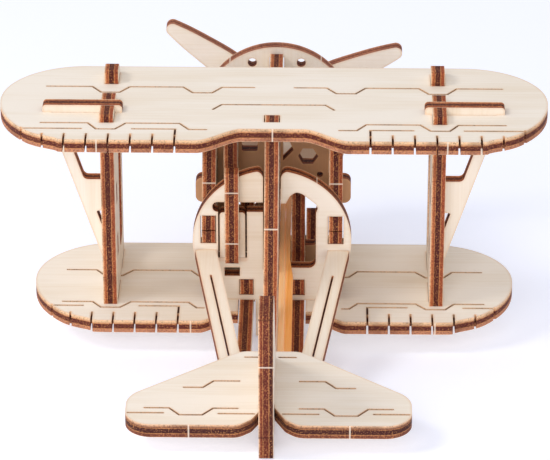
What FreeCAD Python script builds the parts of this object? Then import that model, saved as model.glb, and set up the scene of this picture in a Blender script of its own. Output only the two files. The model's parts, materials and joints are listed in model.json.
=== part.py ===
import FreeCAD, Part
import math
import os

# Desk-top model of a biplane, cut from plywood sheet and slotted together.
#
# The airframe is drawn level, with +X to the nose, +Y to the left wing and +Z up:
#   X = 0 is the trailing edge of the lower wing and Z = 0 is its upper face.
# The finished model is then set down on its wheels and its tail skid, which lifts the nose,
# and moved so that the origin is the middle of the bottom of its bounding box.
# All lengths are in millimetres.

Vec = FreeCAD.Vector

# ---- Driving dimensions -------------------------------------------------------------------

SHEET = 4.0                 # plywood thickness, used for every flat piece
FIT = 0.1                   # gap round a tenon in its slot
KERF = 0.6                  # width of a slit cut right through
LINE_WIDTH = 0.62           # width of an engraved line
LINE_DEPTH = 0.4            # depth of an engraved line

UPPER_SPAN = 158.6
LOWER_SPAN = 141.6
UPPER_CHORD = (-1.0, 49.5)
LOWER_CHORD = (0.0, 49.5)
TIP_LENGTH = 24.0           # length of the rounded wing tip
TIP_FORWARD = 2.0           # how far the tip's outermost point lies ahead of mid chord
CELL_SHIFT = -0.35          # the wings and struts sit this far off the fuselage's middle
WING_GAP = 54.6             # from the lower wing's upper face to the upper wing's underside
SLIT_PITCH = 6.3            # spacing of the slits along both trailing edges

STRUT_Y = 47.7              # middle plane of each wing strut
GUSSET_X = 17.2             # rear face of the brace beside each strut
BAR_TOP = WING_GAP + SHEET + 2.3   # top of the brace's bar over the wing
LAP_FLOOR = BAR_TOP - 3.7   # floor of the half lap between strut and brace

BODY_AXIS_Z = 19.4          # height of the round fuselage's axis and the propeller's shaft
ARCH_X = 13.3               # rear face of the rear bulkhead
ARCH_RADIUS = 23.15
ARCH_CENTRE_Z = 19.15
MID_X = 35.0                # rear face of the middle bulkhead
FIREWALL_X = 84.0           # rear face of the firewall
STAR_X = 91.0               # rear face of the engine's star
COWL_X = 100.0              # rear face of the cowl
COWL_RADIUS = 23.2
SIDE_Y = 18.5               # middle plane of each side plate
RAIL_Y = 7.5                # middle plane of each inner rail

SHAFT_RADIUS = 2.0
RUNNING_GAP = 0.08          # radial clearance of a turning dowel in its hole
PROP_RADIUS = 42.7
PROP_X = 111.0              # rear face of the propeller
BLADE_ANGLES = (143.8, 23.8, 263.8)

TAIL_TOP = 10.0             # upper face of the tailplane
TAIL_FRONT_X = -36.0
TAIL_REAR_X = -77.2
TAIL_HALF_SPAN = 39.0
TAIL_SHIFT = -0.5           # the tailplane sits this far off the fuselage's middle
FIN_REAR_X = -82.0
SKID_X = -80.5              # rear corner of the skid below the fin
SKID_Z = 1.7

AXLE_X = 72.0
AXLE_Z = -10.8
AXLE_RADIUS = 2.0
WHEEL_RADIUS = 10.5
WHEEL_INNER_Y = 9.65

LEVER_Y = 11.6              # middle plane of the release lever
LEVER_PIVOT = (15.3, 14.5)  # X and Z of the root about which its tongue bends

BAND_WIDTH = 1.65
BAND_THICKNESS = 1.2
PEG = (-44.0, -4.35, 3.2)   # where the rubber band goes round its tail peg
PEG_RADIUS = 0.55
HOOK_X = 66.0               # X of the bar of the hook that the band pulls on

# ---- Drawing helpers ----------------------------------------------------------------------


def corner_cut(before, corner, after, radius):
    """Start, middle and end of the arc that rounds one corner of an outline."""
    back = before - corner
    ahead = after - corner
    back.normalize()
    ahead.normalize()
    half = back.getAngle(ahead) / 2.0
    reach = radius / math.tan(half)
    bisector = back + ahead
    bisector.normalize()
    centre = corner + bisector * (radius / math.sin(half))
    return corner + back * reach, centre - bisector * radius, corner + ahead * reach


def outline(points):
    """Closed wire through (u, v) corners; a corner given as (u, v, r) is rounded to radius r."""
    spots = [Vec(p[0], p[1], 0) for p in points]
    radii = [p[2] if len(p) > 2 else 0.0 for p in points]
    count = len(points)
    cuts = []
    for i, spot in enumerate(spots):
        if radii[i] > 0.0:
            cuts.append(corner_cut(spots[i - 1], spot, spots[(i + 1) % count], radii[i]))
        else:
            cuts.append((spot, None, spot))
    edges = []
    for i, (start, middle, end) in enumerate(cuts):
        if middle is not None:
            edges.append(Part.Arc(start, middle, end).toShape())
        following = cuts[(i + 1) % count][0]
        if end.distanceToPoint(following) > 1e-6:
            edges.append(Part.makeLine(end, following))
    return Part.Wire(edges)


def face(points):
    return Part.Face(outline(points))


def box_face(u0, u1, v0, v1, radius=0.0):
    return face([(u0, v0, radius), (u1, v0, radius), (u1, v1, radius), (u0, v1, radius)])


def disc_face(u, v, radius):
    return Part.Face(Part.Wire(Part.makeCircle(radius, Vec(u, v, 0))))


def offset_line(points, shift, closed=False):
    """The line through the points moved sideways by shift, with mitred corners."""
    spots = [Vec(p[0], p[1], 0) for p in points]
    count = len(spots)
    moved = []
    for i, spot in enumerate(spots):
        before = spots[i - 1] if (closed or i > 0) else None
        after = spots[(i + 1) % count] if (closed or i < count - 1) else None
        into = (spot - before) if before is not None else (after - spot)
        out = (after - spot) if after is not None else into
        into.normalize()
        out.normalize()
        side = Vec(-into.y - out.y, into.x + out.x, 0)
        side.normalize()
        stretch = shift / (side.x * -into.y + side.y * into.x)
        moved.append((spot.x + side.x * stretch, spot.y + side.y * stretch))
    return moved


def stroke_face(points, width):
    """A line of the given width through the points."""
    left = offset_line(points, width / 2.0)
    right = offset_line(points, -width / 2.0)
    return face(left + right[::-1])


# A flat piece lies in one of three planes. Its outline is drawn as (u, v):
#   "level"    u = X, v = Y, and its thickness goes up from Z = start
#   "upright"  u = X, v = Z, and its thickness goes left from Y = start
#   "across"   u = Y, v = Z, and its thickness goes forward from X = start
def slab(flat, plane, start, thickness=SHEET):
    if plane == "level":
        solid = flat.extrude(Vec(0, 0, thickness))
        solid.translate(Vec(0, 0, start))
        return solid
    if plane == "upright":
        solid = flat.extrude(Vec(0, 0, -thickness))
        solid.rotate(Vec(0, 0, 0), Vec(1, 0, 0), 90)
        solid.translate(Vec(0, start, 0))
        return solid
    solid = flat.extrude(Vec(0, 0, thickness))
    solid.rotate(Vec(0, 0, 0), Vec(1, 1, 1), 120)
    solid.translate(Vec(start, 0, 0))
    return solid


def cut_faces(flat, holes):
    for hole in holes:
        flat = flat.cut(hole)
    return flat


def engrave(piece, lines, plane, surface, inward):
    """Cuts shallow lines into one face; inward is +1 or -1 along the thickness."""
    for line in lines:
        depth = LINE_DEPTH + 1.0
        start = surface - 1.0 if inward > 0 else surface - LINE_DEPTH
        piece = piece.cut(slab(stroke_face(line, LINE_WIDTH), plane, start, depth))
    return piece


def mirrored(solid):
    return solid.mirror(Vec(0, 0, 0), Vec(0, 1, 0))


def both_sides(lines):
    """Lines drawn on a level piece, repeated on the other side of the centre line."""
    return lines + [[(x, -y) for x, y in line] for line in lines]


def joined(solids):
    """Fuses solids into one and drops the seams between them."""
    return solids[0].fuse(solids[1:]).removeSplitter()


def rod(start, end, radius):
    axis = end - start
    return Part.makeCylinder(radius, axis.Length, start, axis)


# ---- Wings --------------------------------------------------------------------------------


def tip_curve(front, rear, tip_y, side):
    """Rounded wing tip made of two quarter ellipses that meet ahead of mid chord."""
    widest = (front + rear) / 2.0 + TIP_FORWARD
    points = []
    steps = 12
    for k in range(steps + 1):
        turn = math.pi * k / steps
        reach = (front - widest) if k < steps / 2 else (widest - rear)
        x = widest + reach * math.cos(turn)
        points.append(Vec(x, side * (tip_y + TIP_LENGTH * math.sin(turn)), 0))
    curve = Part.BSplineCurve()
    curve.interpolate(points, InitialTangent=Vec(0, side, 0), FinalTangent=Vec(0, -side, 0))
    return curve.toShape()


def wing_face(chord, span, recess_x, recess_inner, recess_outer):
    """Straight wing with rounded tips and a recess in the middle of its trailing edge."""
    rear, front = chord
    tip_y = span / 2.0 - TIP_LENGTH
    blend = (recess_outer - recess_inner) * 0.3

    def ramp(side):
        curve = Part.BezierCurve()
        curve.setPoles([
            Vec(rear, side * recess_outer, 0),
            Vec(rear, side * (recess_outer - blend), 0),
            Vec(recess_x, side * (recess_inner + blend), 0),
            Vec(recess_x, side * recess_inner, 0),
        ])
        return curve.toShape()

    edges = [
        Part.makeLine(Vec(front, -tip_y, 0), Vec(front, tip_y, 0)),
        tip_curve(front, rear, tip_y, 1),
        Part.makeLine(Vec(rear, tip_y, 0), Vec(rear, recess_outer, 0)),
        ramp(1),
        Part.makeLine(Vec(recess_x, recess_inner, 0), Vec(recess_x, -recess_inner, 0)),
        ramp(-1),
        Part.makeLine(Vec(rear, -recess_outer, 0), Vec(rear, -tip_y, 0)),
        tip_curve(front, rear, tip_y, -1),
    ]
    return Part.Face(Part.Wire(Part.sortEdges(edges)[0]))


def rib_slits(rear, first_y, count, depth_x, tip_y, tip_x):
    """The row of slits in from the trailing edge, with a short one at the tip, on each side."""
    slits = []
    for side in (1, -1):
        for k in range(count):
            y = side * (first_y + k * SLIT_PITCH)
            slits.append(box_face(rear - 3.0, depth_x, y - KERF / 2.0, y + KERF / 2.0))
        y = side * tip_y
        slits.append(box_face(rear - 3.0, tip_x, y - KERF / 2.0, y + KERF / 2.0))
    return slits


def kinked(high, low, breaks):
    """A panel line that swaps between two X values: breaks lists the Y of each end and bend."""
    line = []
    level = high
    for i, y in enumerate(breaks):
        line.append((level, y))
        if i % 2 == 1:
            level = low if level == high else high
    return line


UPPER_RECESS_X = 6.8
STRUT_TOP_REAR = (10.5, 26.1)       # X range of the strut's rear tenon in the upper wing
STRUT_TOP_FRONT = (37.0, 45.0)      # X range of its front tenon
STRUT_FOOT_REAR = (13.0, 25.0)      # X ranges of its tenons in the lower wing
STRUT_FOOT_FRONT = (33.0, 45.0)
BAR_HOOK = (43.5, 66.5)             # Y of the ends of the brace's bar, which hook over the wing
BAR_SLOT = (45.4, 63.9)             # Y of the slot that the brace drops through
KEEL_TENON = (11.5, 16.1)           # X range of the keel's tenon in the upper wing


def strut_slot(x_range):
    half = SHEET / 2.0 + FIT
    return box_face(x_range[0] - FIT, x_range[1] + FIT, STRUT_Y - half, STRUT_Y + half)


def flipped(flat):
    return flat.mirror(Vec(0, 0, 0), Vec(0, 1, 0))


def make_upper_wing():
    flat = wing_face(UPPER_CHORD, UPPER_SPAN, UPPER_RECESS_X, 8.7, 21.8)
    holes = rib_slits(UPPER_CHORD[0], 27.8, 7, 3.3, 71.9, 7.2)
    slots = [
        strut_slot(STRUT_TOP_REAR),
        strut_slot(STRUT_TOP_FRONT),
        box_face(GUSSET_X - FIT, GUSSET_X + SHEET + FIT, BAR_SLOT[0] - FIT, BAR_SLOT[1] + FIT),
    ]
    holes += slots + [flipped(slot) for slot in slots]
    wing = slab(cut_faces(flat, holes), "level", WING_GAP)
    lines = both_sides([
        kinked(35.1, 31.2, [66.7, 53.2, 50.4, 45.0, 42.2, 26.6, 23.7, 18.1, 15.3, 5.7]),
        kinked(10.2, 6.2, [66.7, 53.0, 50.4, 45.0, 42.1, 26.7, 23.9, 18.7]),
        [(6.4, 54.4), (6.4, 71.6)],
        [(6.4, 40.3), (6.4, 27.8), (3.0, 27.8)],
    ])
    lines.append([(19.7, 17.6), (23.2, 15.0), (23.2, -15.0), (19.7, -17.6)])
    wing = engrave(wing, lines, "level", WING_GAP + SHEET, -1)
    wing.translate(Vec(0, CELL_SHIFT, 0))
    half = SHEET / 2.0 + 0.3
    keel_slot = box_face(KEEL_TENON[0] - FIT, KEEL_TENON[1] + FIT, -half, half)
    return wing.cut(slab(keel_slot, "level", WING_GAP))


LOWER_RECESS_X = 6.0
RAIL_GAP_Y = 9.9                    # half width of the gap that the rails pass through
RAIL_GAP_X = 22.4                   # front end of that gap
GEAR_TENON = (30.0, 44.0)           # X range of each gear leg's tenon
GEAR_Y = 7.3                        # middle plane of each gear leg


def make_lower_wing():
    flat = wing_face(LOWER_CHORD, LOWER_SPAN, LOWER_RECESS_X, 12.5, 21.5)
    holes = rib_slits(LOWER_CHORD[0], 27.6, 6, 5.2, 64.9, 9.8)
    slots = [strut_slot(STRUT_FOOT_REAR), strut_slot(STRUT_FOOT_FRONT)]
    holes += slots + [flipped(slot) for slot in slots]
    wing = slab(cut_faces(flat, holes), "level", -SHEET)
    lines = both_sides([
        kinked(31.5, 27.9, [62.0, 53.0, 50.3, 45.1, 42.0, 24.8, 22.2, 19.0]),
        kinked(11.4, 8.0, [62.0, 53.0, 50.4, 44.8, 41.8, 24.8, 22.3, 20.0]),
        [(9.0, 55.5), (9.0, 64.4)],
        [(9.0, 39.4), (9.0, 27.6), (4.6, 27.6)],
    ])
    wing = engrave(wing, lines, "level", 0.0, -1)
    wing.translate(Vec(0, CELL_SHIFT, 0))
    half = SHEET / 2.0 + FIT
    gear_slot = box_face(GEAR_TENON[0] - FIT, GEAR_TENON[1] + FIT, GEAR_Y - half, GEAR_Y + half)
    rail_gap = face([
        (-1.0, RAIL_GAP_Y), (-1.0, -RAIL_GAP_Y),
        (RAIL_GAP_X, -RAIL_GAP_Y, 1.0), (RAIL_GAP_X, RAIL_GAP_Y, 1.0),
    ])
    for hole in (gear_slot, flipped(gear_slot), rail_gap):
        wing = wing.cut(slab(hole, "level", -SHEET))
    return wing


# ---- Wing struts and their braces -----------------------------------------------------------

STRUT_REAR_X = 10.0
STRUT_FRONT_X = 46.0
HORN_TOP = WING_GAP + SHEET + 4.2   # top of the strut's front tenon, which stands proud
BRACE_TENON_LOW = (12.0, 18.5)      # Z ranges of the brace's tenons through the strut
BRACE_TENON_HIGH = (29.0, 35.0)


def make_strut():
    wing_top = WING_GAP + SHEET
    points = [
        (STRUT_REAR_X, 0), (STRUT_FOOT_REAR[0], 0), (STRUT_FOOT_REAR[0], -SHEET),
        (STRUT_FOOT_REAR[1], -SHEET), (STRUT_FOOT_REAR[1], 0),
        (STRUT_FOOT_FRONT[0], 0), (STRUT_FOOT_FRONT[0], -SHEET),
        (STRUT_FOOT_FRONT[1], -SHEET), (STRUT_FOOT_FRONT[1], 0),
        (STRUT_FRONT_X, 0), (STRUT_FRONT_X, WING_GAP),
        (STRUT_TOP_FRONT[1], WING_GAP), (STRUT_TOP_FRONT[1], wing_top + 1.5, 1.0),
        (STRUT_TOP_FRONT[1] - 2.5, HORN_TOP, 2.0), (STRUT_TOP_FRONT[0], HORN_TOP, 0.8),
        (STRUT_TOP_FRONT[0], WING_GAP),
        (STRUT_TOP_REAR[1], WING_GAP), (STRUT_TOP_REAR[1], BAR_TOP, 0.6),
        (GUSSET_X + SHEET + FIT, BAR_TOP), (GUSSET_X + SHEET + FIT, LAP_FLOOR),
        (GUSSET_X - FIT, LAP_FLOOR), (GUSSET_X - FIT, BAR_TOP),
        (STRUT_TOP_REAR[0], BAR_TOP, 0.6), (STRUT_TOP_REAR[0], WING_GAP),
        (STRUT_REAR_X, WING_GAP),
    ]
    window = box_face(29.0, 40.0, 8.0, 46.0, 4.0)
    holes = [window]
    for low, high in (BRACE_TENON_LOW, BRACE_TENON_HIGH):
        holes.append(box_face(GUSSET_X - FIT, GUSSET_X + SHEET + FIT, low - FIT, high + FIT))
    flat = cut_faces(face(points), holes)
    return slab(flat, "upright", STRUT_Y - SHEET / 2.0)


def make_gusset():
    """Brace across each strut: a sloping leg, a web, and a bar that hooks over the wing."""
    slope = 0.325                       # how far the leg moves out for each millimetre up
    foot_y = 46.3                       # Y of the leg's outer edge produced down to Z = 0
    leg = 3.4                           # width of the leg along Y
    face_y = STRUT_Y + SHEET / 2.0      # the strut's outer face
    inner_y = STRUT_Y - SHEET / 2.0
    wing_top = WING_GAP + SHEET
    web = (27.0, 37.2)                  # bottom and top of the web
    bar_floor = WING_GAP + 1.4

    def outer(z):
        return foot_y + slope * z

    points = [
        (BAR_HOOK[0], BAR_TOP, 1.1), (BAR_HOOK[0], wing_top, 0.3),
        (BAR_SLOT[0], wing_top), (BAR_SLOT[0], LAP_FLOOR),
        (face_y, LAP_FLOOR), (face_y, bar_floor),
        (outer(bar_floor) - leg, bar_floor, 1.0), (outer(web[1]) - leg, web[1], 1.6),
        (face_y, web[1]), (face_y, BRACE_TENON_HIGH[1]),
        (inner_y, BRACE_TENON_HIGH[1]), (inner_y, BRACE_TENON_HIGH[0]),
        (face_y, BRACE_TENON_HIGH[0]), (face_y, web[0]),
        (outer(web[0]) - leg, web[0], 0.4), (face_y, (face_y + leg - foot_y) / slope),
        (face_y, BRACE_TENON_LOW[1]), (inner_y, BRACE_TENON_LOW[1]),
        (inner_y, BRACE_TENON_LOW[0]), (face_y, BRACE_TENON_LOW[0]),
        (face_y, (face_y - foot_y) / slope),
        (outer(WING_GAP), WING_GAP), (BAR_SLOT[1], WING_GAP),
        (BAR_SLOT[1], wing_top), (BAR_HOOK[1], wing_top, 0.3), (BAR_HOOK[1], BAR_TOP, 1.1),
    ]
    return slab(face(points), "across", GUSSET_X)


# ---- Fuselage -------------------------------------------------------------------------------

KEEL_ARM = (33.0, 41.0)             # bottom and top of the keel's arm to the cowl
KEEL_NOSE_X = 46.0                  # front edge of the keel below its arm
KEEL_LAP_Z = 30.0                   # where keel and middle bulkhead lap
ARCH_SLOT_FLOOR = 10.0              # floor of the rear bulkhead's slot for the keel
SPINE = (-17.0, 16.0)               # X and Z of the foot of the keel's rear slope
KEEL_TAIL_X = -66.0
TAIL_BOTTOM = TAIL_TOP - SHEET
SIDE_TENON = (18.8, 27.4)           # Z range of the side plates' rear tenons
RAIL_TENON = (1.85, 6.6)            # Z range of the rails' tenons in the rear bulkhead
RAIL_NOSE = (1.4, 5.0)              # Z range of the rails' tenons in the middle bulkhead
TONGUE_Y = (7.8, 15.2)              # Y range of the springy tongue
TONGUE_TOP = 28.7
SIDE_TAB = (21.2, 29.2)             # Z range of the middle bulkhead's side tabs


def make_keel():
    """Centre plate: a pylon to the upper wing, an arm to the cowl and a boom to the tail."""
    arch_rear = ARCH_X - FIT
    arch_front = ARCH_X + SHEET + FIT
    mid_rear = MID_X - FIT
    mid_front = MID_X + SHEET + FIT
    points = [
        (COWL_X, KEEL_ARM[0]), (COWL_X + SHEET, KEEL_ARM[0]),
        (COWL_X + SHEET, KEEL_ARM[1] - 2.0), (COWL_X, KEEL_ARM[1] - 2.0),
        (COWL_X, KEEL_ARM[1], 2.0), (56.0, KEEL_ARM[1], 9.0), (46.0, WING_GAP),
        (KEEL_TENON[1], WING_GAP), (KEEL_TENON[1], WING_GAP + SHEET),
        (KEEL_TENON[0], WING_GAP + SHEET), (KEEL_TENON[0], WING_GAP),
        (STRUT_REAR_X, WING_GAP), (SPINE[0], SPINE[1], 14.0),
        (TAIL_FRONT_X + FIT, TAIL_TOP, 1.5), (TAIL_FRONT_X + FIT, TAIL_BOTTOM),
        (KEEL_TAIL_X, TAIL_BOTTOM), (KEEL_TAIL_X, TAIL_BOTTOM - 5.0, 1.5),
        (-48.0, -2.2, 6.0), (-32.0, -2.5, 20.0), (8.0, -3.0, 5.0),
        (arch_rear, 3.0, 1.0), (arch_rear, ARCH_SLOT_FLOOR + FIT),
        (arch_front, ARCH_SLOT_FLOOR + FIT), (arch_front, 3.0, 2.0),
        (mid_rear, 3.0, 2.0), (mid_rear, KEEL_LAP_Z), (mid_front, KEEL_LAP_Z),
        (mid_front, 8.0, 2.0), (KEEL_NOSE_X, 8.0, 2.0), (KEEL_NOSE_X, KEEL_ARM[0], 3.0),
    ]
    windows = [
        box_face(21.0, 41.0, 39.5, 49.5, 3.0),
        box_face(20.5, 31.5, 12.0, 31.5, 3.0),
        face([(8.0, 8.0, 2.0), (8.0, 40.5, 2.0), (-11.0, 14.0, 3.0), (-19.0, 8.0, 2.0)]),
    ]
    return slab(cut_faces(face(points), windows), "upright", -SHEET / 2.0)


def make_rear_bulkhead():
    """Round bulkhead behind the cockpit, cut flat on the lower wing, with the keel's slot."""
    flat = disc_face(0.0, ARCH_CENTRE_Z, ARCH_RADIUS)
    flat = flat.common(box_face(-40.0, 40.0, 0.0, 60.0))
    foot = slab(box_face(-4.8, 4.8, -12.0, 1.0), "across", ARCH_X)
    half = SHEET / 2.0 + 0.6
    shoulder = 2.2                      # rounding of the slot's upper corners
    shoulder_z = ARCH_CENTRE_Z + ARCH_RADIUS - 0.35
    flare = face([
        (-half, ARCH_SLOT_FLOOR, 0.4), (half, ARCH_SLOT_FLOOR, 0.4),
        (half, shoulder_z, shoulder), (half + 8.0, shoulder_z), (half + 8.0, 60.0),
        (-half - 8.0, 60.0), (-half - 8.0, shoulder_z), (-half, shoulder_z, shoulder),
    ])
    cuts = [flare]
    # Left half: the slot above the tongue, the gap round the tongue and a square hole.
    cuts.append(face([(half - 1.0, 28.9), (17.3, 28.9, 1.4), (17.3, 32.0, 1.4), (half - 1.0, 32.0)]))
    cuts.append(box_face(TONGUE_Y[0] - 0.5, TONGUE_Y[1] + 0.5, LEVER_PIVOT[1], 29.5))
    cuts.append(box_face(9.4, 13.9, 7.9, 10.7))
    # Right half: one large opening beside the keel, which the rubber band runs through.
    cuts.append(face([
        (-half + 1.0, 10.7), (-12.8, 10.7, 2.2), (-12.8, 28.6), (-13.3, 30.2, 0.6),
        (-12.8, 31.4, 0.8), (-8.8, 34.8, 1.5), (-7.0, 35.4, 1.5), (-5.3, 34.2, 0.8),
        (-4.0, 31.7), (-half + 1.0, 31.7),
    ]))
    for side in (1, -1):
        side_slot = sorted((side * (SIDE_Y - 2.25), side * (SIDE_Y + 2.35)))
        rail_slot = sorted((side * (RAIL_Y - 2.15), side * (RAIL_Y + 2.15)))
        cuts.append(box_face(side_slot[0], side_slot[1], SIDE_TENON[0] - 0.2, SIDE_TENON[1] + 0.2))
        cuts.append(box_face(rail_slot[0], rail_slot[1], RAIL_TENON[0] - 0.2, RAIL_TENON[1] + 0.2))
    bulkhead = joined([slab(cut_faces(flat, cuts), "across", ARCH_X), foot])
    # The tongue's rounded root turns in a matching hollow.
    start = Vec(LEVER_PIVOT[0], TONGUE_Y[0] - 0.5, LEVER_PIVOT[1])
    end = Vec(LEVER_PIVOT[0], TONGUE_Y[1] + 0.5, LEVER_PIVOT[1])
    return bulkhead.cut(rod(start, end, SHEET / 2.0 + RUNNING_GAP))


def make_mid_bulkhead():
    half = 16.4
    tab_y = 23.0
    top = WING_GAP
    points = [
        (-half, 0.0), (half, 0.0), (half, SIDE_TAB[0]),
        (tab_y, SIDE_TAB[0], 2.0), (tab_y, SIDE_TAB[1], 2.0), (half, SIDE_TAB[1]),
        (half, top), (-half, top), (-half, SIDE_TAB[1]),
        (-tab_y, SIDE_TAB[1], 2.0), (-tab_y, SIDE_TAB[0], 2.0), (-half, SIDE_TAB[0]),
    ]
    keel_half = SHEET / 2.0 + FIT
    rail_half = SHEET / 2.0 + FIT
    cuts = [
        box_face(-keel_half, keel_half, KEEL_LAP_Z - FIT, top + 1.0),
        box_face(4.6, 9.3, 38.1, 46.0, 0.5),
        face([(-7.3, 36.5), (-8.7, 39.0), (-11.7, 39.0), (-13.3, 36.5), (-11.7, 34.0), (-8.7, 34.0)]),
        disc_face(-13.8, 30.6, 0.9),
        face([(-2.9, 35.0), (-6.0, 38.4), (-4.4, 42.5), (-2.9, 42.5)]),
        face([(-1.6, 7.0, 1.5), (-1.6, 26.0, 1.5), (-13.5, 26.0, 2.0), (-13.5, 7.0, 2.0)]),
        box_face(4.6, 13.5, 18.5, 26.0, 2.0),
    ]
    for side in (1, -1):
        span = sorted((side * (RAIL_Y - rail_half), side * (RAIL_Y + rail_half)))
        cuts.append(box_face(span[0], span[1], RAIL_NOSE[0] - FIT, RAIL_NOSE[1] + FIT))
    return slab(cut_faces(face(points), cuts), "across", MID_X)


def make_side_plate():
    """Left side of the fuselage, with a riser that carries the upper wing."""
    slit = 0.18                         # half of the slit between its two rear tenons
    slit_z = 22.7
    front = ARCH_X + SHEET + FIT
    tenon = (22.0, 30.0)
    points = [
        (ARCH_X, SIDE_TENON[0]), (ARCH_X, slit_z - slit), (front + 1.0, slit_z - slit),
        (front + 1.0, slit_z + slit), (ARCH_X, slit_z + slit), (ARCH_X, SIDE_TENON[1]),
        (front, SIDE_TENON[1]), (front, 29.0, 1.0), (30.0, WING_GAP), (46.0, WING_GAP),
        (53.0, 34.0, 9.0), (FIREWALL_X, 32.0), (FIREWALL_X, tenon[1]),
        (FIREWALL_X + SHEET, tenon[1]), (FIREWALL_X + SHEET, tenon[0]),
        (FIREWALL_X, tenon[0]), (FIREWALL_X, 10.0), (56.0, 7.0, 10.0), (47.0, 0.0, 2.0),
        (25.0, 0.0, 2.0), (front, 9.5, 2.0), (front, SIDE_TENON[0]),
    ]
    cuts = [
        box_face(MID_X - FIT, MID_X + SHEET + FIT, SIDE_TAB[0] - FIT, SIDE_TAB[1] + FIT),
        box_face(57.0, 78.0, 14.5, 26.5, 5.9),
        face([(28.0, 38.0, 2.0), (33.5, 49.5, 1.5), (42.0, 49.5, 2.0), (46.0, 38.0, 2.0)]),
        box_face(23.5, 31.0, 6.0, 18.0, 2.5),
    ]
    plate = slab(cut_faces(face(points), cuts), "upright", SIDE_Y - SHEET / 2.0)
    lines = [
        [(22.0, 32.0), (46.0, 32.0), (49.0, 29.5), (81.0, 29.5)],
        [(43.5, 4.0), (43.5, 12.0), (46.0, 14.5), (52.0, 14.5)],
    ]
    return engrave(plate, lines, "upright", SIDE_Y + SHEET / 2.0, -1)


RAIL_POST = (24.0, 34.0)            # X range of the rail's post behind the middle bulkhead
RAIL_TAIL_X = -42.0


def make_inner_rail():
    """Rail beside the keel: it grips the rear bulkhead's foot and runs back to the tail."""
    arch_front = ARCH_X + SHEET + 0.05
    points = [
        (ARCH_X, RAIL_TENON[0]), (ARCH_X, RAIL_TENON[1]), (arch_front, RAIL_TENON[1]),
        (arch_front, 10.5, 1.0), (RAIL_POST[0], 10.5), (RAIL_POST[0], 29.6, 1.0),
        (RAIL_POST[1], 29.6, 1.0), (MID_X, 24.0), (MID_X, RAIL_NOSE[1]),
        (MID_X + SHEET, RAIL_NOSE[1]), (MID_X + SHEET, RAIL_NOSE[0]),
        (MID_X, RAIL_NOSE[0]), (MID_X, 0.05),
        (RAIL_GAP_X - 0.5, 0.05), (RAIL_GAP_X - 0.5, -6.0, 2.0),
        (0.0, -6.0, 20.0), (RAIL_TAIL_X, -3.0), (RAIL_TAIL_X, -0.05),
        (arch_front, -0.05), (arch_front, RAIL_TENON[0]),
    ]
    return slab(face(points), "upright", RAIL_Y - SHEET / 2.0)


def make_boom_strip(knee_y):
    """Long plank with a slit, from the rear bulkhead to the underside of the tailplane."""
    width = 6.2
    front = Vec(ARCH_X, 19.4, 16.7)     # middle of its upper edge at the bulkhead
    knee = Vec(-34.5, knee_y, TAIL_BOTTOM)
    run = math.hypot(front.x - knee.x, front.y - knee.y)
    tongue = 10.5                       # flat end below the tailplane
    drop = front.z - knee.z
    profile = [
        (0.0, 0.0), (-run, -drop), (-run - tongue, -drop),
        (-run - tongue, -drop - 3.0), (-run, -drop - 3.0), (0.0, -3.0),
    ]
    strip = slab(face(profile), "upright", -width / 2.0, width)
    slit = box_face(-run + 1.5, -11.5, -0.1, 0.5)
    strip = strip.cut(slab(slit, "level", -40.0, 60.0))
    turn = math.degrees(math.atan2(front.y - knee.y, front.x - knee.x))
    strip.rotate(Vec(0, 0, 0), Vec(0, 0, 1), turn)
    strip.translate(front)
    clear = slab(box_face(-30.0, 30.0, -30.0, 60.0), "across", ARCH_X, 20.0)
    return strip.cut(clear)


def make_lever_post():
    """Short post between the middle bulkhead and the upper wing, in front of the lever."""
    points = [
        (24.5, WING_GAP), (24.5, 30.0, 2.0), (29.0, 27.0, 2.0), (MID_X, 29.0), (MID_X, WING_GAP),
    ]
    return slab(face(points), "upright", 10.3)


# ---- Release lever on its springy tongue ------------------------------------------------------

LEVER_TENON = (20.0, 26.0)          # Z range of the lever's tenon through the tongue


def make_release_tongue():
    half = SHEET / 2.0 + FIT
    flat = face([
        (TONGUE_Y[0], LEVER_PIVOT[1]), (TONGUE_Y[1], LEVER_PIVOT[1]),
        (TONGUE_Y[1], TONGUE_TOP, 1.0), (TONGUE_Y[0], TONGUE_TOP, 1.0),
    ])
    hole = box_face(LEVER_Y - half, LEVER_Y + half, LEVER_TENON[0] - FIT, LEVER_TENON[1] + FIT)
    plate = slab(flat.cut(hole), "across", ARCH_X)
    start = Vec(LEVER_PIVOT[0], TONGUE_Y[0], LEVER_PIVOT[1])
    end = Vec(LEVER_PIVOT[0], TONGUE_Y[1], LEVER_PIVOT[1])
    return plate.fuse(rod(start, end, SHEET / 2.0)).removeSplitter()


def make_release_lever():
    rear = 8.2
    front = 12.9
    points = [
        (rear, 14.3, 0.8), (front - 0.6, 14.3, 0.8), (front, 17.0),
        (front, LEVER_TENON[0]), (ARCH_X + SHEET, LEVER_TENON[0]),
        (ARCH_X + SHEET, LEVER_TENON[1]), (front, LEVER_TENON[1]),
        (front, 43.5, 0.6), (rear, 43.5, 0.6),
    ]
    return slab(face(points), "upright", LEVER_Y - SHEET / 2.0)


# ---- Nose: firewall, engine star, cowl, propeller ---------------------------------------------

ROD_RADIUS = 1.5
ROD_CIRCLE = 14.5
ROD_ANGLES = (20.0, 160.0, 225.0, 315.0)


def around(radius, angle):
    """Point (Y, Z) on a circle about the fuselage's axis."""
    turn = math.radians(angle)
    return radius * math.cos(turn), BODY_AXIS_Z + radius * math.sin(turn)


def rod_holes():
    holes = []
    for angle in ROD_ANGLES:
        y, z = around(ROD_CIRCLE, angle)
        holes.append(disc_face(y, z, ROD_RADIUS + 0.05))
    return holes


def shaft_hole():
    return disc_face(0.0, BODY_AXIS_Z, SHAFT_RADIUS + RUNNING_GAP)


def keel_arm_slot():
    half = SHEET / 2.0 + FIT
    return box_face(-half, half, KEEL_ARM[0] - FIT, KEEL_ARM[1] + 5.0)


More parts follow.
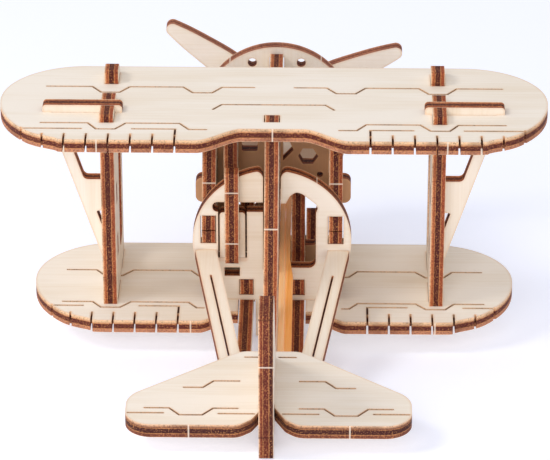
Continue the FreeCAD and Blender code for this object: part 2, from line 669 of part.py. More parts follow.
def make_firewall():
    flat = disc_face(0.0, BODY_AXIS_Z, 21.8)
    cuts = rod_holes() + [shaft_hole(), keel_arm_slot()]
    for side in (1, -1):
        span = sorted((side * (SIDE_Y - 2.1), side * (SIDE_Y + 3.5)))
        cuts.append(box_face(span[0], span[1], 21.9, 30.1))
    return slab(cut_faces(flat, cuts), "across", FIREWALL_X)


def make_engine_star():
    """Nine cylinders round a crankcase, cut as one star."""
    flats = [disc_face(0.0, BODY_AXIS_Z, 11.5)]
    for k in range(9):
        angle = 110.0 + k * 40.0
        flats.append(stroke_face([around(9.0, angle), around(17.0, angle)], 5.6))
        flats.append(stroke_face([around(14.0, angle), around(18.0, angle)], 8.0))
    star = joined([slab(flat, "across", STAR_X) for flat in flats])
    for hole in rod_holes() + [shaft_hole(), keel_arm_slot()]:
        star = star.cut(slab(hole, "across", STAR_X))
    return star


def make_cowl():
    flat = disc_face(0.0, BODY_AXIS_Z, COWL_RADIUS)
    half = SHEET / 2.0 + 0.3
    cuts = rod_holes() + [shaft_hole()]
    cuts.append(box_face(-half, half, KEEL_ARM[0] - 0.2, KEEL_ARM[1] - 1.8))
    for angle in (23.0, 67.0, 113.0, 157.0, 203.0, 247.0, 293.0, 337.0):
        y, z = around(19.5, angle)
        cuts.append(disc_face(y, z, 1.4))
    cowl = slab(cut_faces(flat, cuts), "across", COWL_X)
    spokes = []
    for k in range(9):
        angle = 90.0 + k * 40.0
        spokes.append([around(8.0, angle), around(13.0, angle)])
    return engrave(cowl, spokes, "across", COWL_X + SHEET, -1)


def make_engine_rods():
    rods = []
    for angle in ROD_ANGLES:
        y, z = around(ROD_CIRCLE, angle)
        rods.append(rod(Vec(FIREWALL_X, y, z), Vec(COWL_X + SHEET, y, z), ROD_RADIUS))
    return Part.makeCompound(rods)


def blade_face(angle):
    """One blade, widest at two fifths of its length, with a narrow rounded tip."""
    half_widths = ((3.0, 2.6), (9.0, 3.1), (18.0, 4.3), (27.0, 3.9), (36.0, 2.9), (41.0, 2.0))
    leading = [Vec(r, w, 0) for r, w in half_widths]
    trailing = [Vec(r, -w, 0) for r, w in half_widths]
    one = Part.BSplineCurve()
    one.interpolate(leading)
    two = Part.BSplineCurve()
    two.interpolate(trailing)
    tip = Part.Arc(leading[-1], Vec(PROP_RADIUS, 0, 0), trailing[-1])
    root = Part.makeLine(trailing[0], leading[0])
    edges = [one.toShape(), tip.toShape(), two.toShape(), root]
    flat = Part.Face(Part.Wire(Part.sortEdges(edges)[0]))
    flat.rotate(Vec(0, 0, 0), Vec(0, 0, 1), angle)
    flat.translate(Vec(0, BODY_AXIS_Z, 0))
    return flat


def make_propeller():
    flats = [disc_face(0.0, BODY_AXIS_Z, 6.5)]
    for angle in BLADE_ANGLES:
        flats.append(blade_face(180.0 - angle))
    whole = joined([slab(flat, "across", PROP_X) for flat in flats])
    return whole.cut(slab(disc_face(0.0, BODY_AXIS_Z, SHAFT_RADIUS + 0.02), "across", PROP_X))


def hub_disc(start, radius, thickness=SHEET):
    flat = disc_face(0.0, BODY_AXIS_Z, radius)
    flat = flat.cut(disc_face(0.0, BODY_AXIS_Z, SHAFT_RADIUS + 0.02))
    return slab(flat, "across", start, thickness)


def make_hook_disc():
    """Disc with a square hole that holds the hook in line with the shaft."""
    flat = disc_face(0.0, BODY_AXIS_Z, 5.5)
    half = SHEET / 2.0 + 0.02
    flat = flat.cut(box_face(-half, half, BODY_AXIS_Z - half, BODY_AXIS_Z + half))
    return slab(flat, "across", HOOK_DISC_X)


HOOK_DISC_X = FIREWALL_X - 0.35 - 2.0 * SHEET
COLLAR_X = FIREWALL_X - 0.35 - SHEET
SPACER_X = COWL_X + SHEET + 0.35
HUB_X = PROP_X + SHEET
SHAFT_END_X = HUB_X + SHEET + 1.2


def make_prop_shaft():
    return rod(Vec(COLLAR_X, 0, BODY_AXIS_Z), Vec(SHAFT_END_X, 0, BODY_AXIS_Z), SHAFT_RADIUS)


def make_shaft_hook():
    """Flat hook with an eye; the rubber band goes through the eye and round its rear bar."""
    z = BODY_AXIS_Z
    rear = HOOK_X - 1.5
    eye = (HOOK_X + 1.4, HOOK_X + 4.6)
    points = [
        (rear, z - 4.0, 1.3), (eye[1] + 1.5, z - 4.0, 1.5), (eye[1] + 4.0, z - 2.0, 1.0),
        (COLLAR_X, z - 2.0), (COLLAR_X, z + 2.0), (eye[1] + 4.0, z + 2.0, 1.0),
        (eye[1] + 1.5, z + 4.0, 1.5), (rear, z + 4.0, 1.3),
    ]
    flat = face(points).cut(box_face(eye[0], eye[1], z - 1.4, z + 2.2, 0.8))
    return slab(flat, "upright", -SHEET / 2.0)


# ---- Rubber band and its tail peg --------------------------------------------------------------


def make_rubber_band():
    """Stretched loop: through the hook's eye, past the keel's nose and round the tail peg."""
    hook_z = BODY_AXIS_Z + 0.4
    rise = math.atan2(hook_z - PEG[2], HOOK_X - PEG[0])
    half = BAND_WIDTH / 2.0
    keel_face = SHEET / 2.0
    beside_hook = keel_face + 0.25 + half
    inner_y = -keel_face - 0.05 - half      # the strand that slides along the keel
    outer_y = inner_y - BAND_WIDTH - 0.02

    def along(x):
        return (x - PEG[0]) / math.cos(rise)

    front = along(HOOK_X + 1.6 + half)
    tail = -PEG_RADIUS - 0.1 - half
    bend = along(KEEL_NOSE_X + 3.5)
    meet = along(PEG[0] + 9.0)              # from here forward the two strands lie together
    route = [
        (front, beside_hook), (front, -beside_hook), (bend, outer_y), (meet, outer_y),
        (tail, PEG[1] + tail - 0.25), (tail, inner_y), (bend, inner_y),
        (along(HOOK_X - 2.5), beside_hook),
    ]
    radii = [1.05, 1.05, 60.0, 15.0, 1.2, 1.2, 12.0, 8.0]
    turns = [1.0, 1.0, -1.0, -1.0, 1.0, 1.0, 1.0, -1.0]

    def loop(shift):
        moved = offset_line(route, shift, closed=True)
        corners = []
        for spot, radius, turn in zip(moved, radii, turns):
            corners.append((spot[0], spot[1], radius + turn * shift))
        return face(corners)

    flat = loop(half).cut(loop(-half))
    band = slab(flat, "level", -BAND_THICKNESS / 2.0, BAND_THICKNESS)
    band.rotate(Vec(0, 0, 0), Vec(0, 1, 0), -math.degrees(rise))
    band.translate(Vec(PEG[0], 0, PEG[2]))
    return band


PEG_PLATE_Z = -2.2


def make_tail_peg():
    return rod(Vec(PEG[0], PEG[1], PEG_PLATE_Z), Vec(PEG[0], PEG[1], TAIL_BOTTOM), PEG_RADIUS)


def make_peg_plate():
    side = -SHEET / 2.0 - 0.02
    flat = box_face(-50.5, TAIL_BULKHEAD_X - 0.02, -8.5, side, 0.6)
    flat = flat.cut(disc_face(PEG[0], PEG[1], PEG_RADIUS + 0.02))
    return slab(flat, "level", PEG_PLATE_Z, 3.0)


TAIL_BULKHEAD_X = -42.0


def make_tail_bulkhead():
    """Small cross plate that ties the keel, both rails and the boom strips under the tail."""
    bottom = -3.0
    keel_half = SHEET / 2.0 + FIT
    flat = box_face(-14.8, 14.8, bottom, TAIL_BOTTOM, 1.0)
    strip_top = TAIL_BOTTOM - 3.0
    cuts = [
        box_face(5.9, 16.0, strip_top - FIT, TAIL_BOTTOM + 1.0),
        box_face(-16.0, -keel_half, 1.9, TAIL_BOTTOM + 1.0),
        box_face(-keel_half, keel_half, bottom + 0.3, TAIL_BOTTOM + 1.0),
    ]
    for side in (1, -1):
        span = sorted((side * (RAIL_Y - 2.1), side * (RAIL_Y + 2.1)))
        cuts.append(box_face(span[0], span[1], bottom - 1.0, 0.05))
    return slab(cut_faces(flat, cuts), "across", TAIL_BULKHEAD_X)


# ---- Tail ---------------------------------------------------------------------------------------


def make_tailplane():
    notch_x = -65.9                     # front of the notch that the fin drops into
    half = SHEET / 2.0 + FIT
    side = [
        (TAIL_FRONT_X, 8.5, 7.0), (-61.7, TAIL_HALF_SPAN, 9.0),
        (TAIL_REAR_X, TAIL_HALF_SPAN, 7.5), (TAIL_REAR_X, 8.0, 5.0), (-74.0, 4.6, 3.0), (-64.0, 0.0),
    ]
    other = [(p[0], -p[1], p[2]) for p in side[:-1]]
    plate = slab(face(side + other[::-1]), "level", TAIL_BOTTOM)
    lines = both_sides([
        [(-39.4, 2.2), (-39.4, 7.3)],
        kinked(-53.0, -56.7, [8.1, 15.4, 18.35, 23.8]),
        kinked(-68.1, -71.8, [8.2, 15.1, 18.0, 24.2, 27.1, 34.05]),
        [(-71.0, 3.7), (-71.0, 13.8)],
        [(-70.8, 28.4), (-70.8, 38.5)],
    ])
    plate = engrave(plate, lines, "level", TAIL_TOP, -1)
    plate.translate(Vec(0, TAIL_SHIFT, 0))
    notch = box_face(TAIL_REAR_X, notch_x, -half, half)
    return plate.cut(slab(notch, "level", TAIL_BOTTOM))


def make_fin():
    tan_ground = math.tan(GROUND_ANGLE)
    skid_front = 8.0
    points = [
        (-40.0, TAIL_TOP), (-69.0, 46.3, 7.0), (FIN_REAR_X, 45.0, 1.6), (FIN_REAR_X, 8.6),
        (SKID_X, 8.0), (SKID_X, SKID_Z), (SKID_X + skid_front, SKID_Z - skid_front * tan_ground),
        (KEEL_TAIL_X - FIT, 6.0, 2.0), (KEEL_TAIL_X - FIT, TAIL_TOP),
    ]
    fin = slab(face(points), "upright", -SHEET / 2.0)
    lines = [
        [(-50.0, 15.0), (-62.0, 15.0), (-64.0, 17.5), (-77.5, 17.5)],
        [(-64.5, 32.5), (-77.5, 32.5)],
        [(-68.0, 39.0), (-77.5, 39.0)],
    ]
    fin = engrave(fin, lines, "upright", SHEET / 2.0, -1)
    return engrave(fin, lines, "upright", -SHEET / 2.0, 1)


# ---- Undercarriage --------------------------------------------------------------------------------


def make_gear_leg():
    """Leg from a tenon in the lower wing forward and down to the axle."""
    hub = 4.8
    points = [
        (GEAR_TENON[0], -SHEET), (GEAR_TENON[0], 0.0), (GEAR_TENON[1], 0.0),
        (GEAR_TENON[1], -SHEET), (52.0, -SHEET, 2.0),
        (AXLE_X + hub, AXLE_Z + hub, 4.6), (AXLE_X + hub, AXLE_Z - hub, 4.6),
        (AXLE_X - hub, AXLE_Z - hub, 4.6), (34.0, -10.5, 6.0), (25.0, -7.0, 1.5), (25.0, -SHEET),
    ]
    flat = face(points).cut(disc_face(AXLE_X, AXLE_Z, AXLE_RADIUS + RUNNING_GAP))
    return slab(flat, "upright", GEAR_Y - SHEET / 2.0)


def round_plate(radius, start, hole, thickness=SHEET):
    flat = disc_face(AXLE_X, AXLE_Z, radius).cut(disc_face(AXLE_X, AXLE_Z, hole))
    return slab(flat, "upright", start, thickness)


def make_axle():
    end = WHEEL_INNER_Y + SHEET + 3.0
    return rod(Vec(AXLE_X, -end, AXLE_Z), Vec(AXLE_X, end, AXLE_Z), AXLE_RADIUS)


def make_wheel():
    """Left wheel, with six round holes between hub and rim."""
    flat = disc_face(AXLE_X, AXLE_Z, WHEEL_RADIUS)
    flat = flat.cut(disc_face(AXLE_X, AXLE_Z, AXLE_RADIUS + 0.02))
    for k in range(6):
        turn = math.radians(60.0 * k)
        spot = (AXLE_X + 6.6 * math.cos(turn), AXLE_Z + 6.6 * math.sin(turn))
        flat = flat.cut(disc_face(spot[0], spot[1], 1.5))
    return slab(flat, "upright", WHEEL_INNER_Y)


# ---- The model stands on its wheels and its skid ----------------------------------------------------

reach = AXLE_X - SKID_X
rise = SKID_Z - AXLE_Z
GROUND_ANGLE = math.asin(WHEEL_RADIUS / math.hypot(reach, rise)) + math.atan2(rise, reach)


def set_down(solids):
    """Lifts the nose until wheels and skid stand level, and moves the origin below the middle."""
    for solid in solids.values():
        solid.rotate(Vec(0, 0, 0), Vec(0, 1, 0), -math.degrees(GROUND_ANGLE))
    box = Part.makeCompound(list(solids.values())).optimalBoundingBox(False)
    shift = Vec(-(box.XMin + box.XMax) / 2.0, 0.0, -box.ZMin)
    for solid in solids.values():
        solid.translate(shift)
    return box, shift


def make_all():
    wheel = make_wheel()
    cap_start = WHEEL_INNER_Y + SHEET
    cap = round_plate(4.2, cap_start, AXLE_RADIUS + 0.02, 2.5)
    pieces = {
        "upper_wing": make_upper_wing(),
        "lower_wing": make_lower_wing(),
        "keel": make_keel(),
        "rear_bulkhead": make_rear_bulkhead(),
        "mid_bulkhead": make_mid_bulkhead(),
        "tail_bulkhead": make_tail_bulkhead(),
        "lever_post": make_lever_post(),
        "firewall": make_firewall(),
        "engine_star": make_engine_star(),
        "engine_rods": make_engine_rods(),
        "cowl": make_cowl(),
        "tailplane": make_tailplane(),
        "fin": make_fin(),
        "tail_peg": make_tail_peg(),
        "peg_plate": make_peg_plate(),
        "rubber_band": make_rubber_band(),
        "release_tongue": make_release_tongue(),
        "release_lever": make_release_lever(),
        "propeller": make_propeller(),
        "prop_shaft": make_prop_shaft(),
        "prop_spacer": hub_disc(SPACER_X, 5.0, PROP_X - SPACER_X),
        "prop_hub": hub_disc(HUB_X, 5.5),
        "shaft_collar": hub_disc(COLLAR_X, 5.5),
        "hook_disc": make_hook_disc(),
        "shaft_hook": make_shaft_hook(),
        "axle": make_axle(),
    }
    pairs = {
        "strut": make_strut(),
        "gusset": make_gusset(),
        "side_plate": make_side_plate(),
        "inner_rail": make_inner_rail(),
        "gear_leg": make_gear_leg(),
        "wheel": wheel,
        "wheel_cap": cap,
    }
    for name, left in pairs.items():
        pieces[name + "_left"] = left
        pieces[name + "_right"] = mirrored(left)
    for name in ("strut_left", "strut_right", "gusset_left", "gusset_right"):
        pieces[name].translate(Vec(0, CELL_SHIFT, 0))
    knee = 11.3
    pieces["boom_strip_left"] = make_boom_strip(knee + TAIL_SHIFT)
    pieces["boom_strip_right"] = mirrored(make_boom_strip(knee - TAIL_SHIFT))
    return pieces


os.makedirs("parts", exist_ok=True)
model = make_all()
bounds, origin_shift = set_down(model)
for name, solid in model.items():
    solid.exportStep("parts/" + name + ".step")
print("nodes", len(model))
print("nose-up angle", round(math.degrees(GROUND_ANGLE), 4))
print("size", round(bounds.XLength, 2), round(bounds.YLength, 2), round(bounds.ZLength, 2))
print("shift", round(origin_shift.x, 4), round(origin_shift.z, 4))
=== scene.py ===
import json
import math

import bmesh
import bpy
from mathutils import Matrix, Vector


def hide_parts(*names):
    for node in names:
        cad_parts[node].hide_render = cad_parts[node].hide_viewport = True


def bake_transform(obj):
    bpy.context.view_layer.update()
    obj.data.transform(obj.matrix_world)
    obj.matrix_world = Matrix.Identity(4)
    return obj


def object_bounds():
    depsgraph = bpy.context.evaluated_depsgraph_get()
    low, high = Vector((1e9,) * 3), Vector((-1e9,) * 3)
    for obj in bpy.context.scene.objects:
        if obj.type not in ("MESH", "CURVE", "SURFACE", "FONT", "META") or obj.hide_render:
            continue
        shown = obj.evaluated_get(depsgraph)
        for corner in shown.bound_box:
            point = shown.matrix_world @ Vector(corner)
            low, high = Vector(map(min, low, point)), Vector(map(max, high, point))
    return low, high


# Looks of the plywood biplane: laser-cut plywood, bamboo dowels, an amber rubber band and a pale
# studio.

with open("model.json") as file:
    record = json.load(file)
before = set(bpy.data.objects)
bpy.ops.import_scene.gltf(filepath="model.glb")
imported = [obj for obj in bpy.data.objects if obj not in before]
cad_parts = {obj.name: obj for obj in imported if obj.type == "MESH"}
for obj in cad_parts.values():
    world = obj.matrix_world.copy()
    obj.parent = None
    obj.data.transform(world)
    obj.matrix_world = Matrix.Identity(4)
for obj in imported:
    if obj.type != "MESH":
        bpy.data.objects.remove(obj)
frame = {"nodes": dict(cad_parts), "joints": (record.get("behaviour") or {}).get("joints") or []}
cad_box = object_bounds()
nodes = frame["nodes"]

# The model stands nose-up on its wheels and skid. The propeller's joint says how far, and where
# the level frame of the drawing lies: X = 0 at the lower wing's trailing edge, Z = 0 on its top.
MM = 0.001
SHAFT_POINT = Vector((100.0, 0.0, 19.4)) * MM       # the joint's place in the level frame
spin = next(j for j in frame["joints"] if j["name"] == "propeller_spin")
NOSE = Vector(spin["axis"]).normalized().freeze()
LEFT = Vector((0.0, 1.0, 0.0)).freeze()
UP = NOSE.cross(LEFT).freeze()
TURN = Matrix((NOSE, LEFT, UP)).transposed()
SHIFT = Vector(spin["pos_m"]) - TURN @ SHAFT_POINT


def place(x, y, z):
    """A point of the level frame, in mm, as a point of the row frame in metres."""
    return TURN @ (Vector((x, y, z)) * MM) + SHIFT


# ---- Materials ------------------------------------------------------------------------------


def srgb(r, g, b):
    """Linear colour of an 8-bit display colour."""
    return tuple(((c / 255.0 + 0.055) / 1.055) ** 2.4 for c in (r, g, b)) + (1.0,)


class Shader:
    """A small builder for a Principled material's nodes."""

    def __init__(self, name):
        self.material = bpy.data.materials.new(name)
        self.material.use_nodes = True
        self.tree = self.material.node_tree
        self.bsdf = self.tree.nodes["Principled BSDF"]

    def put(self, socket, value):
        """Feeds the socket from another node's output, or sets its value."""
        if isinstance(value, bpy.types.NodeSocket):
            self.tree.links.new(value, socket)
        elif isinstance(value, Vector):
            socket.default_value = tuple(value)
        else:
            socket.default_value = value

    def set(self, **values):
        """Sets the Principled shader's own sockets, named with _ for each space."""
        for name, value in values.items():
            self.put(self.bsdf.inputs[name.replace("_", " ")], value)

    def node(self, kind, **settings):
        made = self.tree.nodes.new(kind)
        for key, value in settings.items():
            setattr(made, key, value)
        return made

    def math(self, operation, *values):
        made = self.node("ShaderNodeMath", operation=operation)
        for socket, value in zip(made.inputs, values):
            self.put(socket, value)
        return made.outputs[0]

    def vector(self, operation, a, b=None, scale=None):
        made = self.node("ShaderNodeVectorMath", operation=operation)
        self.put(made.inputs[0], a)
        if b is not None:
            self.put(made.inputs[1], b)
        if scale is not None:
            self.put(made.inputs["Scale"], scale)
        single = operation in ("DOT_PRODUCT", "LENGTH", "DISTANCE")
        return made.outputs["Value" if single else "Vector"]

    def combine(self, x, y, z):
        made = self.node("ShaderNodeCombineXYZ")
        for socket, value in zip(made.inputs, (x, y, z)):
            self.put(socket, value)
        return made.outputs[0]

    def noise(self, vector, detail=3.0, rough=0.5):
        made = self.node("ShaderNodeTexNoise")
        self.put(made.inputs["Vector"], vector)
        self.put(made.inputs["Scale"], 1.0)
        self.put(made.inputs["Detail"], detail)
        self.put(made.inputs["Roughness"], rough)
        return made.outputs["Fac"]

    def surface(self):
        """The shading point in mm and the surface's normal, both in the row frame."""
        spot = self.node("ShaderNodeTexCoord")
        return self.vector("SCALE", spot.outputs["Object"], scale=1.0 / MM), spot.outputs["Normal"]

    def along(self, vector, axis):
        return self.vector("DOT_PRODUCT", vector, axis)

    def facing(self, normal, axis):
        """1 where the surface faces along the axis, either way, and 0 where it lies along it."""
        return self.math("ABSOLUTE", self.along(normal, axis))

    def step(self, value, low, high, to_low=0.0, to_high=1.0):
        """value mapped smoothly from low..high to to_low..to_high, and held beyond."""
        made = self.node("ShaderNodeMapRange", interpolation_type="SMOOTHSTEP")
        for socket, v in zip(made.inputs, (value, low, high, to_low, to_high)):
            self.put(socket, v)
        return made.outputs[0]

    def mix(self, factor, a, b):
        made = self.node("ShaderNodeMix", data_type="RGBA")
        self.put(made.inputs[0], factor)
        self.put(made.inputs[6], a)
        self.put(made.inputs[7], b)
        return made.outputs[2]

    def ramp(self, factor, stops):
        made = self.node("ShaderNodeValToRGB")
        elements = made.color_ramp.elements
        while len(elements) < len(stops):
            elements.new(0.5)
        for element, (spot, colour) in zip(elements, stops):
            element.position = spot
            element.color = colour
        self.put(made.inputs[0], factor)
        return made.outputs[0]

    def bump(self, height, strength, distance):
        made = self.node("ShaderNodeBump")
        self.put(made.inputs["Strength"], strength)
        self.put(made.inputs["Distance"], distance)
        self.put(made.inputs["Height"], height)
        return made.outputs[0]


def sheet_of(node, axis):
    """Unit normal of a plate's two faces, near axis, and their distances along it, in metres."""
    mesh = nodes[node].data
    widest = max((f for f in mesh.polygons if f.normal.dot(axis) > 0.9), key=lambda f: f.area)
    normal = widest.normal.copy()
    spots = [f.center.dot(normal) for f in mesh.polygons if abs(f.normal.dot(normal)) > 0.9999]
    return normal, min(spots), max(spots)


FACE_LIGHT = srgb(248, 237, 221)
FACE_DARK = srgb(240, 225, 203)
PORE = srgb(214, 186, 150)
LINE_DARK = srgb(52, 24, 12)
LINE_LIGHT = srgb(90, 50, 28)
TOAST = srgb(222, 172, 122)
RIM = srgb(248, 206, 164)
SPARK = srgb(230, 156, 92)
SOOT = srgb(74, 26, 16)
FRESH = srgb(250, 232, 208)
GLUE = srgb(216, 146, 88)

# burnt plies, from the low face to the high one; the last ply changes colour outwards
PLIES = (srgb(158, 76, 44), srgb(80, 29, 23), srgb(150, 70, 41), srgb(198, 116, 68))
PLIES_WING = (srgb(188, 126, 94), srgb(94, 38, 27), srgb(202, 142, 102), srgb(240, 202, 156))
PLIES_TAIL = (srgb(124, 68, 48), srgb(66, 26, 22), srgb(108, 58, 42), srgb(194, 144, 108))
PLIES_SMOOTH = (srgb(66, 20, 12), srgb(104, 40, 26), srgb(112, 45, 29), srgb(148, 70, 40))
PLIES_RIM = (srgb(160, 96, 76), srgb(128, 68, 52), srgb(150, 88, 68), srgb(178, 114, 92))

# grain of the faces: stretch along and across it, per mm, slice of the noise, detail, roughness
STREAKS = (0.035, 1.25, 0.0, 5.0, 0.62)
CLOUDS = (0.02, 0.11, 9.0, 2.0, 0.5)
PORES = (0.35, 5.5, 4.0, 2.0, 0.5)

# speckle of the edges: scale per mm, detail, roughness
RIPPLE = (0.7, 3.0, 0.6)
GRIT = (2.6, 3.0, 0.65)
SMUDGE = (0.16, 2.0, 0.5)

SEED_SHIFT = 37.0           # keeps the plates' grain apart in the noise
FLAT_FROM = (0.45, 0.75)    # cosine to the plate's normal, from a cut edge to a flat place
SUNK_FROM = (0.05, 0.12)    # mm below a face, from the face to the floor of an engraved line
TOAST_REACH = 0.9           # mm in from an outline
TOAST_MOST = 0.40
RIPPLE_WAVES = 0.05         # how far the plies' borders wander, as parts of the thickness
GRIT_WAVES = 0.08
NICK_REACH = (5.0, 4.0)     # mm from a nick's middle: where its line ends and where it is full
NICK_HALF = (0.28, 0.14)    # mm from a nick's plane: its soft edge


def plywood(node, axis, grain, seed, shade, plies, nicks):
    """Birch plywood cut by laser: fine grain on the two faces, three burnt plies on the edges.

    axis is near the faces' normal and grain is the direction of their grain. shade multiplies the
    faces' colours. Each nick is a point and a direction of the level frame and a colour: a thin
    line across the edge there."""
    normal, low, high = sheet_of(node, axis)
    thickness = (high - low) / MM
    along = (grain - normal * grain.dot(normal)).normalized()
    across = normal.cross(along)
    s = Shader("plywood_" + node)
    point, surface_normal = s.surface()
    height = s.math("SUBTRACT", s.along(point, normal), low / MM)
    u = s.along(point, along)
    v = s.along(point, across)
    flat = s.step(s.facing(surface_normal, normal), *FLAT_FROM)
    depth = s.math("MINIMUM", height, s.math("SUBTRACT", thickness, height))
    sunk = s.step(depth, *SUNK_FROM)

    def grain_noise(stretch_u, stretch_v, slice_at, detail, rough):
        at = s.combine(
            s.math("MULTIPLY_ADD", u, stretch_u, SEED_SHIFT * seed),
            s.math("MULTIPLY", v, stretch_v), seed + slice_at)
        return s.noise(at, detail, rough)

    def speckle(scale, detail, rough):
        return s.noise(s.vector("SCALE", point, scale=scale), detail, rough)

    # the two faces: streaks and pores along the grain over slow, cloudy changes
    streaks = grain_noise(*STREAKS)
    clouds = grain_noise(*CLOUDS)
    pores = grain_noise(*PORES)
    tone = s.math("MULTIPLY_ADD", s.math("SUBTRACT", streaks, 0.5), 0.7, clouds)
    # shade multiplies the face colours; for some plates it carries painted shade or painted warm
    # bounce light
    light = tuple(c * k for c, k in zip(FACE_LIGHT, shade)) + (1.0,)
    dark = tuple(c * k for c, k in zip(FACE_DARK, shade)) + (1.0,)
    face_colour = s.ramp(tone, [(0.25, dark), (0.60, light)])
    face_colour = s.mix(s.step(pores, 0.62, 0.80, 0.0, 0.10), face_colour, PORE)

    # a warm toasted rim where the laser passed
    rim = s.node("ShaderNodeAmbientOcclusion", samples=6, inside=True, only_local=True)
    rim.inputs["Distance"].default_value = TOAST_REACH * MM
    toast = s.step(rim.outputs["AO"], 0.97, 0.5, 0.0, TOAST_MOST)
    face_colour = s.mix(toast, face_colour, TOAST)

    # the cut edge: three plies, with the middle one across the grain and burnt darkest
    ripple = speckle(*RIPPLE)
    grit = speckle(*GRIT)
    smudge = speckle(*SMUDGE)
    ply = s.math("DIVIDE", height, thickness)
    ply = s.math("MULTIPLY_ADD", s.math("SUBTRACT", ripple, 0.5), RIPPLE_WAVES, ply)
    ply = s.math("MULTIPLY_ADD", s.math("SUBTRACT", grit, 0.5), GRIT_WAVES, ply)
    bottom, middle, inner, outer = plies
    edge = s.ramp(ply, [
        (0.00, RIM), (0.045, bottom), (0.25, bottom), (0.29, GLUE), (0.33, middle), (0.67, middle),
        (0.70, GLUE), (0.735, inner), (0.88, outer), (0.98, RIM)])
    edge = s.mix(s.step(grit, 0.54, 0.64, 0.0, 0.50), edge, SPARK)
    edge = s.mix(s.step(grit, 0.47, 0.37, 0.0, 0.60), edge, SOOT)
    edge = s.mix(s.step(smudge, 0.46, 0.68, 0.0, 0.35), edge, SOOT)
    for x, y, z, along_x, along_y, along_z, colour in nicks:
        away = s.vector("SUBTRACT", point, place(x, y, z) / MM)
        way = (TURN @ Vector((along_x, along_y, along_z))).normalized()
        near = s.step(s.vector("LENGTH", away), *NICK_REACH)
        line = s.step(s.facing(away, way), *NICK_HALF, 0.0, 0.65)
        edge = s.mix(s.math("MULTIPLY", near, line), edge, colour)

    # engraved lines are sunk flat places; the faces are the flat places that aren't
    groove = s.mix(s.step(grit, 0.35, 0.65), LINE_DARK, LINE_LIGHT)
    cut = s.mix(s.math("MULTIPLY", flat, sunk), edge, groove)
    pale_face = s.math("MULTIPLY", flat, s.math("SUBTRACT", 1.0, sunk))
    relief = s.mix(pale_face, grit, s.mix(0.5, streaks, pores))
    s.set(
        Base_Color=s.mix(pale_face, cut, face_colour),
        Roughness=s.step(pale_face, 0.0, 1.0, 0.72, 0.58),
        Specular_IOR_Level=0.28,
        Normal=s.bump(relief, 0.35, 0.06 * MM))
    return s.material


def dress(node, material):
    data = nodes[node].data
    data.materials.clear()
    data.materials.append(material)
    for polygon in data.polygons:
        polygon.material_index = 0


# each plate's faces: the axis that they face and the direction of their grain
PLATES = {
    UP: {"upper_wing": LEFT, "lower_wing": LEFT, "tailplane": LEFT, "peg_plate": LEFT},
    LEFT: {"keel": NOSE, "fin": NOSE, "lever_post": UP, "release_lever": UP, "shaft_hook": NOSE},
    NOSE: {
        "rear_bulkhead": LEFT, "release_tongue": LEFT, "mid_bulkhead": UP, "tail_bulkhead": LEFT,
        "firewall": UP, "engine_star": LEFT, "cowl": UP, "propeller": LEFT, "prop_hub": LEFT,
        "prop_spacer": UP, "shaft_collar": UP, "hook_disc": UP},
}
for side in ("_left", "_right"):
    PLATES[UP]["boom_strip" + side] = NOSE
    PLATES[NOSE]["gusset" + side] = UP
    for name, grain in (("strut", UP), ("side_plate", NOSE), ("inner_rail", UP), ("gear_leg", UP),
                        ("wheel", NOSE), ("wheel_cap", NOSE)):
        PLATES[LEFT][name + side] = grain

# what multiplies the linear red, green and blue of a plate's faces; besides plain, these are
# painted light and shade
PLAIN = (1.0, 1.0, 1.0)
# painted warm bounce light: the faces of the rear-facing plates made warmer, as if lit by light
# bounced off the wood
PAINTED_WARM_BOUNCE = (1.0, 0.97, 0.93)
# painted shade: the mid bulkhead's faces browned where they lie in warm shade inside the fuselage
PAINTED_INNER_SHADE = (0.62, 0.38, 0.24)
# painted shade: the firewall's faces dimmed and warmed where they are seen in shade through the
# openings
SHADED = (0.92, 0.84, 0.76)
SHADES = {
    "rear_bulkhead": PAINTED_WARM_BOUNCE, "release_tongue": PAINTED_WARM_BOUNCE, "boom_strip_left": PAINTED_WARM_BOUNCE,
    "boom_strip_right": PAINTED_WARM_BOUNCE, "gusset_left": PAINTED_WARM_BOUNCE, "gusset_right": PAINTED_WARM_BOUNCE,
    "mid_bulkhead": PAINTED_INNER_SHADE, "firewall": SHADED,
}
EDGES = {
    "fin": PLIES_SMOOTH, "cowl": PLIES_RIM, "propeller": PLIES_RIM, "upper_wing": PLIES_WING,
    "lower_wing": PLIES_WING, "tailplane": PLIES_TAIL}

# points and directions in the level frame, in mm: thin lines across the edge, pale where a bridge
# was snapped and dark where the laser paused
NICKS = {
    "keel": [(-5.2, 0, 32.6, 27, 0, 38, FRESH), (9.6, 0, 53.5, 27, 0, 38, FRESH)],
    "release_lever": [(8.2, 11.6, 37.4, 0, 0, 1, FRESH), (8.2, 11.6, 21.0, 0, 0, 1, FRESH)],
    "side_plate_left": [(20.2, 18.5, 34.7, 1, 0, 2, FRESH)],
    "side_plate_right": [(20.2, -18.5, 34.7, 1, 0, 2, FRESH)],
    "rear_bulkhead": [(15.3, -13.0, 38.3, 0, 19, 13, FRESH)],
    "upper_wing": [
        (6.8, -0.25, 56.6, 0, 1, 0, FRESH), (-1, 49.6, 56.6, 0, 1, 0, FRESH),
        (-1, -50.0, 56.6, 0, 1, 0, FRESH)],
    "lower_wing": [(0, 23.5, -2, 0, 1, 0, FRESH), (0, -47.6, -2, 0, 1, 0, FRESH)],
    "tailplane": [(-77.2, 21.0, 8, 0, 1, 0, FRESH), (-77.2, -22.6, 8, 0, 1, 0, FRESH)],
    "fin": [
        (-82, 0, 30.5, 0, 0, 1, FRESH), (-82, 0, 44.6, 0, 0, 1, SOOT),
        (-82, 0, 8.9, 0, 0, 1, SOOT)],
    "cowl": [(102, 14.6, 37.4, 0, 18, -14.6, FRESH), (102, -13.8, 38.0, 0, 18, 14, FRESH)],
}

seed = 0.0
for axis, plates in PLATES.items():
    for node, grain in plates.items():
        seed += 1.0
        shade, plies, nicks = SHADES.get(node, PLAIN), EDGES.get(node, PLIES), NICKS.get(node, ())
        dress(node, plywood(node, axis, grain, seed, shade, plies, nicks))


